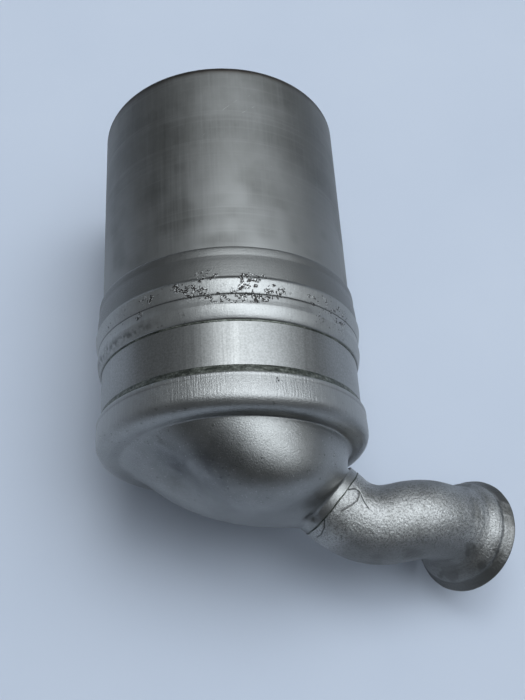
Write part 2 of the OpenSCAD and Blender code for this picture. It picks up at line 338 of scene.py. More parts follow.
def satin_steel(name, dark, light, rough_low, rough_high, grain, streaks):
    """Fine blasted steel with soft clouding, and corroded specks where the worn mask is set.

    With streaks above 0 it is the rubbed flange steel. At 0 it is the cone steel, with painted
    shade on the dome's recess and lower side and fine drawn streaks on the collar, both set by masks.
    """
    s = Shade(name)
    grit = s.noise(1150, 3, 0.75)
    cloud = s.noise(34, 4, 0.62)
    fleck = s.noise(380, 2, 0.5)
    base = s.mix(s.span(cloud, 0.3, 0.7), dark, light)
    base = s.mix(s.span(grit, 0.55, 0.75, 0.0, 0.5), base, tuple(c * 0.62 for c in dark))
    base = s.mix(s.span(fleck, 0.66, 0.72, 0.0, 0.5), base, tuple(c * 0.4 for c in dark))
    if not streaks:
        # painted shade: darkens the dome's recess and lower side
        base = s.mix(s.attr("dome_shade"), base, (0.052, 0.055, 0.058))
    base = s.mix(s.span(s.noise(980, 2, 0.6), 0.62, 0.72, 0.0, 0.4), base, (0.56, 0.56, 0.55))
    rough = s.span(s.math("ADD", cloud, s.math("MULTIPLY", grit, 0.5)), 0.45, 1.05, rough_low, rough_high)
    h = grit
    if streaks:
        streak = s.noise(1, 3, 0.6, s.scaled(900, 45, 900))
        rub = s.noise(1, 3, 0.6, s.scaled(10, 700, 10))
        h = s.math("ADD", h, s.math("MULTIPLY", s.math("ADD", streak, rub), streaks))
        base = s.mix(s.span(streak, 0.45, 0.78, 0.0, 0.35), base, tuple(c * 1.2 for c in light))
    else:
        drawn, collar = s.noise(1, 3, 0.6, s.scaled(1300, 60, 1300)), s.attr("collar")
        h = s.math("ADD", h, s.math("MULTIPLY", drawn, collar))
        bright = s.math("MULTIPLY", s.span(drawn, 0.45, 0.7), s.math("MULTIPLY", collar, 0.5))
        base = s.mix(bright, base, (0.50, 0.50, 0.49))
        base = s.mix(s.math("MULTIPLY", collar, 0.55), base, (0.42, 0.42, 0.41))
        rough = s.math("ADD", rough, s.math("MULTIPLY", collar, 0.09))
    speck = s.noise(1000, 3, 0.75)
    hit = s.span(s.math("ADD", s.attr("worn"), s.math("MULTIPLY", speck, 0.95)), 0.90, 1.0)
    tone = s.mix(s.span(s.noise(1100, 2, 0.6), 0.50, 0.60), (0.045, 0.042, 0.04), (0.62, 0.62, 0.60))
    base = s.mix(s.attr("dark_band"), base, (0.19, 0.19, 0.182))
    base = s.mix(hit, base, tone)
    # the grime mask: dark dirt in the flange's seams and on its left flank, and painted shade in the cone's
    # creases
    base = s.mix(s.attr("grime_and_shade"), base, (0.10, 0.10, 0.095))
    rough = s.math("ADD", rough, s.math("MULTIPLY", hit, 0.1))
    h = s.math("ADD", h, s.math("MULTIPLY", hit, -1.4))
    return s.finish(base, rough, 1.0, s.bump(h, grain, 0.0003))


def weld_metal():
    """Dark rough weld, slightly green, with paler crests."""
    s = Shade("weld_metal")
    a = s.noise(600, 4, 0.65)
    b = s.noise(1, 3, 0.55, s.scaled(140, 500, 140))
    base = s.ramp(s.math("MULTIPLY", s.math("ADD", a, b), 0.5), (0.36, (0.04, 0.043, 0.037)),
                  (0.52, (0.13, 0.138, 0.118)), (0.66, (0.30, 0.31, 0.28)))
    return s.finish(base, s.span(b, 0.3, 0.7, 0.40, 0.62), 1.0, s.bump(a, 0.5, 0.0004))


def pipe_steel():
    """Bright rough pipe, pitted all over. It is darker where the stain mask is set: stains, and painted shade
    on the flanks and along the flare's crease. Painted shade also darkens the folds.
    """
    s = Shade("pipe_steel_pitted")
    pit = s.cells(640)
    grit = s.noise(1000, 4, 0.8)
    coarse = s.noise(420, 3, 0.6)
    cloud = s.noise(70, 4, 0.6)
    base = s.mix(s.span(cloud, 0.35, 0.65), (0.40, 0.398, 0.385), (0.54, 0.537, 0.525))
    base = s.mix(s.span(grit, 0.36, 0.54, 0.9, 0.0), base, (0.13, 0.13, 0.12))
    base = s.mix(s.span(coarse, 0.30, 0.46, 0.25, 0.0), base, (0.16, 0.16, 0.15))
    # stain mask: real stains on the flare and rim, with painted shade on the flanks and along the flare's
    # crease
    base = s.mix(s.attr("stain_and_shade"), base, (0.13, 0.128, 0.12))
    # painted shade in the valleys of the pipe's folds
    base = s.mix(s.attr("fold"), base, (0.05, 0.05, 0.047))
    rough = s.span(s.math("ADD", grit, cloud), 0.7, 1.3, 0.36, 0.47)
    h = s.math("ADD", s.math("MULTIPLY", pit, 0.5), s.math("ADD", grit, s.math("MULTIPLY", coarse, 0.5)))
    return s.finish(base, rough, 1.0, s.bump(h, 0.62, 0.00045))


def ceramic(name, dark, light, grain=900):
    """Matt unglazed ceramic or cement."""
    s = Shade(name)
    a = s.noise(grain, 4, 0.65)
    b = s.noise(60, 3, 0.6)
    base = s.mix(s.span(s.math("ADD", a, b), 0.7, 1.3), dark, light)
    return s.finish(base, s.span(a, 0.3, 0.7, 0.8, 0.95), 0.0, s.bump(a, 0.5, 0.0003))


def wire_mesh():
    """Dull drawn wire of the knitted seals."""
    s = Shade("seal_wire")
    a = s.noise(700, 3, 0.6)
    base = s.mix(s.span(a, 0.35, 0.65), (0.20, 0.19, 0.175), (0.42, 0.41, 0.39))
    return s.finish(base, s.span(a, 0.3, 0.7, 0.35, 0.6), 1.0, s.bump(a, 0.3, 0.0001))


def mat_fibre():
    """Pale compressed fibre of the support mat."""
    s = Shade("mat_fibre")
    a = s.noise(1, 4, 0.7, s.scaled(900, 120, 900))
    base = s.mix(s.span(a, 0.3, 0.7), (0.55, 0.52, 0.45), (0.80, 0.77, 0.70))
    return s.finish(base, s.span(a, 0.3, 0.7, 0.85, 1.0), 0.0, s.bump(a, 0.8, 0.0004))


CAN = spigot_steel()
FLANGE = satin_steel("flange_steel", (0.31, 0.31, 0.298), (0.42, 0.42, 0.408), 0.36, 0.49, 0.42, 0.5)
CONE = satin_steel("cone_steel", (0.25, 0.25, 0.24), (0.33, 0.33, 0.32), 0.27, 0.36, 0.70, 0.0)
WELD = weld_metal()
PIPE = pipe_steel()
BRICK = ceramic("block_ceramic", (0.045, 0.043, 0.042), (0.13, 0.125, 0.12))
PLUGS = ceramic("block_plugs", (0.10, 0.096, 0.092), (0.20, 0.19, 0.18), 1300)
CEMENT = ceramic("block_cement", (0.16, 0.15, 0.14), (0.30, 0.285, 0.265), 500)
WIRE = wire_mesh()
FIBRE = mat_fibre()


# ---------------------------------------------------------------- can

def can_profile():
    """The can's wall with the shallow groove under the flange edge and the rolled lip."""
    r, y0 = CAN_R - LIP_R, SPIGOT_LEN - LIP_R
    out = [(CAN_R - CAN_WALL, -CAN_TAIL), (CAN_R, -CAN_TAIL), (CAN_R, -3.5), (CAN_R - 0.3, -2), (CAN_R, -0.5)]
    arc = [(r + LIP_R * math.cos(t), y0 + LIP_R * math.sin(t)) for t in np.linspace(0, math.pi / 2, 17)]
    w = LIP_R - CAN_WALL
    back = [(r + w * math.cos(t), y0 + w * math.sin(t)) for t in np.linspace(math.pi / 2, 0, 13)]
    return outline(out + arc + back, 1.6)


def can_wobble(p, r, y, a):
    """Very slight waves in the sheet away from its fitted ends."""
    dents = 0.10 * fbm(p, 60, 2, 3) - 0.05
    free = smooth(4, 20, y) * smooth(SPIGOT_LEN - 2, SPIGOT_LEN - 25, y)
    outer = smooth(CAN_R - 0.9, CAN_R - 0.3, r)
    return dents * free * outer - 0.03 * outer * (1 - free)


def can_tint(p, r, y, a):
    """The brown heat tint along the mouth."""
    edge = SPIGOT_LEN - 5.2 + 0.8 * fbm(p, 9, 3, 5)
    return np.clip(smooth(edge - 2.2, edge + 1.6, y), 0, 1) * 0.95


def can_band(p, r, y, a):
    """The plain band between the flange and the cone is cleaner than the spigot."""
    return smooth(-40, -46, y) * 0.85


def can_flange_sheen(p, r, y, a):
    """Painted sheen: the spigot is painted brighter towards the flange, in noisy patches."""
    return 0.8 * smooth(95, 4, y) * smooth(-0.5, 0.35, fbm(p, 24, 3, 7))


can_marks = {"tint": can_tint, "band": can_band, "low": can_flange_sheen}
can = lathe("filter_can_shell", can_profile(), 480, can_wobble, can_marks)
place(can, "filter_can", slot="can_steel", material=CAN)


# ---------------------------------------------------------------- flange

# Outlines of the two pressings from the upper edge down, as (radius, place along the can)
UPPER = [(78.2, 0), (78.85, -0.3), (79.12, -1.1), (79.24, -2.4), (79.22, -4.2), (79.14, -5.6),
         (79.24, -6.8), (79.6, -10), (79.9, -14), (80.1, -18), (80.22, -20.2), (80.68, -21.1),
         (80.88, -22.0), (80.7, -24), (80.3, -26.3), (79.8, -28.7), (79.5, -29.8), (79.3, -30.25),
         (78.95, -30.46)]
LOWER = [(78.95, -30.54), (79.2, -30.72), (79.32, -31.6), (79.4, -34.2), (79.62, -36.2),
         (79.7, -37.2), (79.5, -38.8), (79.1, -41), (78.5, -43.2), (77.85, -44.6), (77.3, -45)]
FLANGE_WALL = 2.3


def spline(points, step=0.4):
    """Smooth curve through (r, y) points, evenly resampled."""
    p = np.array(points, float)
    q = np.vstack([2 * p[0] - p[1], p, 2 * p[-1] - p[-2]])
    out = []
    for i in range(len(p) - 1):
        a, b, c, d = q[i], q[i + 1], q[i + 2], q[i + 3]
        n = max(2, int(np.linalg.norm(c - b) / step))
        for k in range(n):
            t = k / n
            bend = (2 * a - 5 * b + 4 * c - d) * t * t + (3 * b - a - 3 * c + d) * t ** 3
            out.append(0.5 * (2 * b + (c - a) * t + bend))
    out.append(p[-1])
    return out


def pressing(line):
    """A closed outline from a pressing's outer line: it stays clear of the can inside."""
    outer = spline(line)
    inner = [(max(CAN_R + 0.02, r - FLANGE_WALL), y) for r, y in outer[::-1]]
    keep = [inner[0]]
    for p in inner[1:]:
        if math.dist(p, keep[-1]) > 0.25:
            keep.append(p)
    return np.array(outer + keep)


# Corroded scuffs: turn from the top in degrees, place along the can, half width, half length
# and strength
SCUFFS = ((-8, -19.5, 6.5, 3.4, 1.0), (-18, -24, 4.6, 2.6, 0.8), (-12, -28, 6, 4.2, 0.9),
          (-33, -25, 5, 3.6, 0.7), (-37, -33, 2.6, 2.6, 0.7), (9, -25.5, 4.6, 7, 1.0),
          (5, -32.5, 17, 3.6, 0.85), (19, -29, 7.5, 3.8, 0.95), (14, -21, 4, 3, 0.6),
          (40, -27.5, 9, 4.2, 0.62), (52, -31, 12, 6, 0.6), (46, -38, 15, 4.5, 0.5),
          (-58, -30, 6, 4, 0.5), (128, -23, 13, 4.5, 0.8), (197, -25, 11, 5, 0.8),
          (-95, -24, 9, 4, 0.6))


def scuffs(p, r, y, a):
    """Mask of the corroded scuffs, ragged at their edges."""
    turn = (np.degrees(a) + 180) % 360 - 180
    total = np.zeros_like(y)
    for at, along, wide, tall, deep in SCUFFS:
        off = ((turn - at + 180) % 360 - 180) * math.radians(1) * 80
        k = (off / wide) ** 2 + ((y - along) / tall) ** 2
        total = np.maximum(total, deep * smooth(2.7, 0.4, k))
    ragged = smooth(-0.25, 0.35, fbm(p, 1.9, 3, 11))
    return np.clip(total * (0.30 + 0.85 * ragged), 0, 1) * 0.80


def grime_and_shade(p, r, y, a):
    """Dark dirt in the seam and on the left flank."""
    seam = np.exp(-((y + 30.5) / 0.45) ** 2) * 0.5
    lap = np.exp(-((y + 44.9) / 0.4) ** 2) * 0.25
    turn = (np.degrees(a) + 180) % 360 - 180
    flank = smooth(-18, -45, turn) * np.exp(-((y + 41) / 2.6) ** 2) * 0.8
    flank = flank * smooth(-0.5, 0.5, fbm(p, 2.2, 3, 19))
    return np.clip(seam + lap + flank, 0, 1)


def pitted(p, r, y, a):
    """Shallow pits and scale where the pressing is scuffed."""
    w = scuffs(p, r, y, a)
    return -0.10 * w * smooth(0.0, 0.5, fbm(p, 1.3, 2, 21)) + 0.05 * w - 0.06


def dark_band(p, r, y, a):
    """The band above the first ridge is darker than the rest."""
    return smooth(-22.5, -20, y) * 0.9


MARKS = {"worn": scuffs, "grime_and_shade": grime_and_shade, "dark_band": dark_band}
upper = lathe("flange_ring_upper_pressing", pressing(UPPER), 900, pitted, MARKS)
place(upper, "flange_ring_upper", slot="flange_steel", material=FLANGE)
lower = lathe("flange_ring_lower_pressing", pressing(LOWER), 900, pitted, MARKS)
place(lower, "flange_ring_lower", slot="flange_steel", material=FLANGE)


def bead(name, points, seed, size, node, lumps):
    """A weld bead turned round the can, with ripples along it."""
    def wobble(p, r, y, a):
        ripple = np.sin(a * CAN_R / 1.1 + 1.5 * noise(p, 6, seed))
        top = smooth(CAN_R + 0.05, CAN_R + 0.5, r)
        return top * (lumps * 0.35 * ripple + lumps * fbm(p, size, 3, seed))

    place(lathe(name, outline(points, 0.3), 900, wobble), node, slot="weld_steel", material=WELD)


LAP_WELD = [(77.0, -45.0), (77.22, -45.0), (77.24, -45.4), (77.12, -45.8), (77.0, -46.1)]
CONE_WELD = [(77.0, -76.0), (78.4, -76.0), (78.3, -75.5), (77.98, -74.4), (77.62, -73.2),
             (77.28, -72.0), (77.0, -71.6)]
bead("flange_lap_weld_bead", LAP_WELD, 41, 3, "flange_lap_weld", 0.05)
bead("cone_weld_ripples", CONE_WELD, 43, 2.5, "cone_weld_bead", 0.16)


# ---------------------------------------------------------------- outlet cone

def rot_z(t):
    return Matrix.Rotation(math.radians(t), 3, "Z")


def rot_y(t):
    return Matrix.Rotation(math.radians(t), 3, "Y")


NECK_FRAME = np.array(rot_z(NECK_TURN) @ rot_y(NECK_TILT))
NECK_DIR = NECK_FRAME[:, 2]
NECK_POS = np.array(NECK_AT)
TURN_AXIS = np.cross([0, -1, 0], NECK_DIR)
TURN_AXIS /= np.linalg.norm(TURN_AXIS)
TURN = math.acos(-NECK_DIR[1])


def to_neck(v):
    """Turns a vector from the can's direction to the neck's."""
    return (v * math.cos(TURN) + np.cross(TURN_AXIS, v) * math.sin(TURN)
            + TURN_AXIS * (v @ TURN_AXIS)[..., None] * (1 - math.cos(TURN)))


def recess(p):
    """Depth of the pressed recess at points on the dome."""
    u, v = (p[..., 0] - RECESS["x"]) / RECESS["wide"], (p[..., 2] - RECESS["z"]) / RECESS["tall"]
    return RECESS["deep"] * np.exp(-(u ** 2 + v ** 2) ** 1.3)


def dome_rows(w, t):
    """Points of the dome at angles w (columns) and shares t of the way to the neck (rows)."""
    rad = np.stack([np.cos(w), 0 * w, np.sin(w)], -1)[None]
    t = t[:, None, None]
    a = np.array([DOME_SHIFT, FOOT_SINK - SHELF, 0]) + DOME_R * rad
    b = NECK_POS - NECK_LEN * NECK_DIR + to_neck(PIPE_R * rad)
    slant = np.linalg.norm(b - a, axis=-1, keepdims=True)
    steep = (((1 + np.cos(w - math.radians(STAND_SIDE))) / 2) ** 3)[None, :, None]
    lean = np.radians(DOME_LEAN - DOME_STAND * steep)
    leave = np.array([0, -1, 0]) * np.cos(lean) - np.sin(lean) * rad
    pull, sweep = DOME_PULL + steep, FOOT_SWEEP * (1 - steep)
    p = ((2 * t ** 3 - 3 * t ** 2 + 1) * a + (t ** 3 - 2 * t ** 2 + t) * pull * slant * leave
         + (3 * t ** 2 - 2 * t ** 3) * b + (t ** 3 - t ** 2) * NECK_PULL * slant * NECK_DIR
         + sweep * np.maximum(0, 1 - t / 0.1) ** 2 * rad)
    p[..., 1] += np.minimum(recess(p), np.maximum(0, (-SHELF - p[..., 1]) * 0.8))
    return p


def resample(lines, count):
    """A (count, columns, 3) array with evenly spaced points along each line."""
    out = np.zeros((count, len(lines), 3))
    for c, line in enumerate(lines):
        s = np.concatenate([[0], np.cumsum(np.linalg.norm(np.diff(line, axis=0), axis=1))])
        u = np.linspace(0, s[-1], count)
        for k in range(3):
            out[:, c, k] = np.interp(u, s, line[:, k])
    return out


def blur_rows(g, passes, weight):
    """Smooths along the rows, by weight (rows, columns) from 0 to 1."""
    for _ in range(passes):
        m = g.copy()
        m[1:-1] = 0.25 * g[:-2] + 0.5 * g[1:-1] + 0.25 * g[2:]
        g = g + (m - g) * weight[..., None]
    return g


# Outline of the collar from its lead edge to the shelf, as (radius, place along the can)
COLLAR = [(78.5, -76.0), (79.1, -76.1), (79.45, -76.6), (79.55, -77.6), (79.42, -78.9), (79.45, -80.2),
          (79.56, -82), (79.64, -85), (79.6, -87.5), (79.4, -89.4), (78.95, -91), (78.1, -92.5),
          (76.9, -93.9), (75.2, -95.05), (73.3, -95.7), (71.2, -SHELF)]
CONE_ROWS = 260


def cone_outer(columns=480):
    """The cone's outer face: collar, shelf, dome and neck, one line of points for each column."""
    w = np.linspace(0, 2 * math.pi, columns, endpoint=False)
    rad = np.stack([np.cos(w), 0 * w, np.sin(w)], -1)[None]
    side = np.array(spline(COLLAR, 0.5))
    collar = side[:, 0][:, None, None] * rad + np.array([0, 1, 0]) * side[:, 1][:, None, None]
    dome = dome_rows(w, np.linspace(0, 1, 160) ** 1.15)
    below = dome[..., 1] < -SHELF - 0.02
    lines = []
    for c in range(columns):
        d = dome[int(np.argmax(below[:, c])):, c]
        reach = np.linalg.norm(d[0][[0, 2]])
        if reach > 70.5:
            keep = collar[:, c][np.linalg.norm(collar[:, c][:, [0, 2]], axis=1) > reach + 0.4]
        else:
            edge = collar[-1, c]
            foot = edge * [1, 0, 1] * (reach + 0.3) / np.linalg.norm(edge[[0, 2]]) + [0, -SHELF, 0]
            keep = np.vstack([collar[:, c], foot])
        neck = d[-1] + np.linspace(0, NECK_LEN, 8)[1:, None] * NECK_DIR
        lines.append(np.vstack([keep, d, neck]))
    g = resample(lines, max(len(x) for x in lines))
    g = resample(np.swapaxes(g, 0, 1), CONE_ROWS)
    r = np.linalg.norm(g[..., [0, 2]], axis=-1)
    near_foot = np.exp(-((g[..., 1] + SHELF + 2) / 5) ** 2) * smooth(76.5, 74, r)
    to_end = np.linalg.norm(g - (NECK_POS - NECK_LEN * NECK_DIR), axis=-1)
    above_end = (np.arange(CONE_ROWS) < CONE_ROWS - 10)[:, None]
    near_neck = 0.7 * smooth(PIPE_R + 6, PIPE_R + 1, to_end) * above_end
    return blur_rows(g, 7, np.clip(near_foot + near_neck, 0, 1))


def outward(g):
    """Unit normals of a closed grid of points, pointing out."""
    n = np.cross(np.gradient(g, axis=0), np.roll(g, -1, axis=1) - np.roll(g, 1, axis=1))
    n = n / np.maximum(np.linalg.norm(n, axis=-1, keepdims=True), 1e-9)
    return -n if np.sum(n * (g - g.mean((0, 1)))) < 0 else n


def shell(name, outer, wall, attrs):
    """A closed sheet from an outer grid and the same grid moved in by wall mm."""
    g = np.concatenate([outer, (outer - outward(outer) * wall)[::-1]], 0)
    return mesh_from_grid(name, g, attrs={k: np.concatenate([v, v[::-1]], 0) for k, v in attrs.items()})


def near_line(p, a, b):
    """Distance of points from the straight line between a and b, in mm."""
    a, b = np.array(a, float), np.array(b, float)
    t = np.clip(((p - a) @ (b - a)) / ((b - a) @ (b - a)), 0, 1)
    return np.linalg.norm(p - a - t[..., None] * (b - a), axis=-1)


def near(p, at, r):
    """A soft round spot of radius r about a point."""
    return np.exp(-(np.linalg.norm(p - np.array(at, float), axis=-1) / r) ** 2)


# The ridge pressed across the recess, and three small nicks in it: both ends, width, depth
RIDGE = ((-37, -99, 44), (-13, -111, 42))
NICKS = (((-24, -104, 49), (-12, -109, 46), 0.5, 0.16), ((-16, -107, 50), (-11, -112, 41), 0.45, 0.14),
         ((-40, -97, 49), (-28, -101, 52), 0.5, 0.12))
# The fold where the dome meets the neck
FOLD_AT = (43, -132.2, -6)
# Painted shade on the dome's recess and lower side: centre, radius, strength
DOME_SHADE_SPOTS = (((-24, -106, 34), 21, 0.9), ((-2, -112, 46), 16, 0.7), ((16, -122, 30), 20, 0.45),
        ((8, -124, 0), 26, 0.3), ((-50, -98, 20), 18, 0.2))


def cone_relief(g):
    """Small dents, the ridge inside the recess, nicks and the fold by the neck, along the normals."""
    h = 0.10 * fbm(g, 26, 2, 91) - 0.10
    h = h + 1.5 * np.exp(-(near_line(g, *RIDGE) / 3.2) ** 2)
    h = h - 2.4 * near(g, (-30, -110, 22), 7.5) - 1.0 * near(g, (-20, -106, 44), 5)
    h = h - 1.3 * near(g, FOLD_AT, 3.2) - 0.6 * near(g, (44, -134.5, -12), 3)
    for a, b, wide, deep in NICKS:
        h = h - deep * np.exp(-(near_line(g, a, b) / wide) ** 2)
    return g + outward(g) * h[..., None]


cone_grid = cone_relief(cone_outer())
worn = smooth(0.42, 0.8, fbm(cone_grid, 5, 3, 51)) * 0.5
cone_r, cone_y = np.linalg.norm(cone_grid[..., [0, 2]], axis=-1), cone_grid[..., 1]
lead_edge = np.exp(-((cone_y + 79.0) / 0.5) ** 2) * smooth(78.5, 79.2, cone_r)
# Painted shade: a dark line in the groove under the collar's lead edge and a dark patch in the fold by the
# neck
cone_crease_shade = np.clip(0.35 * lead_edge + 0.95 * near(cone_grid, FOLD_AT, 4.6), 0, 1)
# Painted shade on the dome's recess and lower side, made patchy
dome_shade = sum(k * near(cone_grid, at, r) for at, r, k in DOME_SHADE_SPOTS)
dome_shade = np.clip(dome_shade * (0.8 + 0.5 * fbm(cone_grid, 9, 3, 61)), 0, 0.9)
cone_marks = {"worn": worn, "grime_and_shade": cone_crease_shade, "dome_shade": dome_shade, "collar": smooth(-93, -88, cone_y)}
cone = shell("outlet_cone_pressing", cone_grid, CONE_WALL, cone_marks)
place(cone, "outlet_cone", slot="cone_steel", material=CONE)


# ---------------------------------------------------------------- outlet pipe

def pipe_path(step=0.38):
    """Centres, directions and section axes along the outlet pipe, from the neck to the flare."""
    pos, m = NECK_POS.copy(), NECK_FRAME @ np.array(rot_z(ROLL1))
    pts, frames = [], []

    def straight(length):
        nonlocal pos
        n = max(1, round(length / step))
        for k in range(n):
            pts.append(pos + m[:, 2] * length * k / n)
            frames.append(m)
        pos = pos + m[:, 2] * length

    def bend(r, angle):
        nonlocal pos, m
        n = max(1, round(r * math.radians(angle) / step))
        for k in range(n):
            t = math.radians(angle) * k / n
            pts.append(pos + m @ np.array([r * (1 - math.cos(t)), 0, r * math.sin(t)]))
            frames.append(m @ np.array(rot_y(math.degrees(t))))
        t = math.radians(angle)
        pos = pos + m @ np.array([r * (1 - math.cos(t)), 0, r * math.sin(t)])
        m = m @ np.array(rot_y(angle))

    straight(LEAD)
    bend(BEND1_R, BEND1)
    m2 = np.array(rot_z(ROLL2))
    m = m @ m2
    first = len(frames)
    straight(MID)
    bend(BEND2_R, BEND2)
    base = len(frames)
    straight(FLARE_LEN)
    pts.append(pos)
    frames.append(m)
    # Undo the roll so that columns of the mesh don't twist at the roll.
    frames = [f if k < first else f @ m2.T for k, f in enumerate(frames)]
    return np.array(pts), np.array(frames), base


def flare_radius(d):
    """Outside radius of the flare at distance d along it."""
    along, rise = zip((0, 0), (4, 0.35), (7.5, 1.3), (10.8, 3.0), (13.6, 5.2), (16.2, 6.9), (18.0, 7.7),
                      (19.4, 7.75), (20.2, 7.95), (21.2, 8.55), (22.5, 9.35), (24.2, 10.6),
                      (25.2, 11.25), (25.8, 11.5), (26, 11.45))
    return PIPE_R + np.interp(d, along, rise)


# Folds in the pipe by the seam: points as (distance along the pipe in mm, turn in degrees)
FOLDS = (((0.2, 66), (2.6, 58), (5.5, 55), (9.5, 59), (14, 66), (18.2, 72)),
         ((4.6, 98), (6.6, 84), (8.6, 70), (7.6, 61), (5.6, 56)),
         ((0.6, 122), (3.4, 132), (5.0, 146), (4.4, 160)))


def fold_relief(s, w):
    """Height and painted shade of the folds over a grid of distances s (rows) and turns w (columns)."""
    q = np.stack(np.broadcast_arrays(s[:, None], np.radians(w)[None] * PIPE_R), -1)
    height, fold_shade = np.zeros(q.shape[:2]), np.zeros(q.shape[:2])
    for line in FOLDS:
        p = np.array([(a, math.radians(b) * PIPE_R) for a, b in line])
        gap = np.full(q.shape[:2], 99.0)
        side = np.zeros(q.shape[:2])
        for a, b in zip(p[:-1], p[1:]):
            d = b - a
            t = np.clip(((q - a) @ d) / (d @ d), 0, 1)
            off = q - a - t[..., None] * d
            dist = np.linalg.norm(off, axis=-1)
            cross = np.sign(d[0] * off[..., 1] - d[1] * off[..., 0])
            side = np.where(dist < gap, cross, side)
            gap = np.minimum(gap, dist)
        height += -0.34 * np.exp(-(gap / 0.42) ** 2) + 0.14 * side * np.exp(-(gap / 2.2) ** 2)
        fold_shade = np.maximum(fold_shade, np.exp(-(gap / 0.38) ** 2))
    return height, fold_shade


def build_pipe(columns=400):
    """The outlet pipe with its orange-peel surface, dents, folds, flare and rim."""
    pts, fr, base = pipe_path()
    w = np.linspace(0, 2 * math.pi, columns, endpoint=False)
    ring = np.stack([np.cos(w), np.sin(w), 0 * w], -1)
    radial = np.einsum("nij,cj->nci", fr, ring)
    s = np.concatenate([[0], np.cumsum(np.linalg.norm(np.diff(pts, axis=0), axis=1))])
    end, flare = s[-1], s[base]
    d = np.maximum(0, s - flare)
    r = flare_radius(d)[:, None] * np.ones((1, columns))
    g = pts[:, None] + radial * r[..., None]
    fold, fold_shade = fold_relief(s, np.degrees(w))
    # The pipe swells on one flank just before the flare.
    flank = np.maximum(0, np.cos(w - math.radians(52)))[None] ** 2
    r = r + 2.2 * flank * np.exp(-((s - flare - 5) / 7) ** 2)[:, None]
    pits = np.minimum(0, fbm(g, 1.3, 2, 71) - 0.05)
    peel = 0.05 * fbm(g, 1.8, 2, 61) + 0.06 * fbm(g, 5.5, 2, 67) + 0.07 * pits
    dents = 0.22 * fbm(g, 15, 2, 77)
    rough_part = smooth(4.0, 12, s) * (1 - 0.7 * smooth(flare - 2, flare + 8, s))
    free_part = smooth(2, 14, s) * smooth(end, end - 8, s)
    h = rough_part[:, None] * (peel - 0.05) + free_part[:, None] * (dents - 0.15)
    rim = smooth(end - 6, end - 1, s)[:, None] * (0.16 * fbm(g, 9, 2, 83) - 0.12)
    g = pts[:, None] + radial * (r + h + fold + rim - 0.04)[..., None]
    # painted shade along the crease in the flare
    flare_crease_shade = np.exp(-((d - 19.6) / 0.7) ** 2)[:, None] * 0.55 * smooth(-0.4, 0.3, fbm(g, 7, 2, 85))
    on_flare = smooth(flare - 8, flare + 8, s)[:, None]
    patches = smooth(0.0, 0.5, fbm(g, 9, 3, 81)) * on_flare * 0.8 + 0.35 * smooth(0.1, 0.6, fbm(g, 20, 2, 87))
    rim_film = 0.55 * smooth(19.5, 22, d)[:, None]
    # painted shade on the pipe's flanks that face along the can's axis
    painted_side_shade = 0.8 * smooth(0.45, 0.95, np.abs(radial[..., 1])) * smooth(6, 18, s)[:, None]
    stain_and_shade = np.clip(patches + flare_crease_shade + rim_film + painted_side_shade, 0, 1)
    inner = pts[:, None] + radial * (r - PIPE_WALL)[..., None]
    # the fold mask is painted shade in the folds' valleys
    marks = {"stain_and_shade": np.concatenate([stain_and_shade, stain_and_shade[::-1]], 0), "fold": np.concatenate([fold_shade, 0 * fold_shade], 0)}
    return mesh_from_grid("outlet_pipe_tube", np.concatenate([g, inner[::-1]], 0), attrs=marks)


place(build_pipe(), "outlet_pipe", slot="pipe_steel", material=PIPE)


def neck_seam(columns=360):
    """The thin dark weld line between the neck and the pipe."""
    m = NECK_FRAME @ np.array(rot_z(ROLL1))
    w = np.linspace(0, 2 * math.pi, columns, endpoint=False)
    t = np.linspace(0, 2 * math.pi, 12, endpoint=False)
    wander = 0.25 * np.sin(3 * w + 1) + 0.12 * np.sin(11 * w)
    size = 1 + 0.25 * np.sin(7 * w) * np.sin(2 * w + 2)
    r = PIPE_R - 0.08 + 0.26 * np.cos(t)[:, None] * size[None]
    z = 0.42 * np.sin(t)[:, None] * size[None] + wander[None]
    local = np.stack([r * np.cos(w), r * np.sin(w), z], -1)
    return mesh_from_grid("neck_seam_line", NECK_POS + local @ m.T)


place(neck_seam(), "neck_weld_bead", slot="weld_steel", material=WELD)


# ---------------------------------------------------------------- filter block

def clip(poly, nx, nz, limit):
    """The part of a convex polygon of (x, z) points where nx*x + nz*z <= limit."""
    out = []
    for (ax, az), (bx, bz) in zip(poly, poly[1:] + poly[:1]):
        da, db = nx * ax + nz * az - limit, nx * bx + nz * bz - limit
        if da <= 0:
            out.append((ax, az))
        if da * db < 0:
            t = da / (da - db)
            out.append((ax + (bx - ax) * t, az + (bz - az) * t))
    return out


def lift(y, *points):
    """The (x, z) points at place y along the can."""
    return [(x, y, z) for x, z in points]


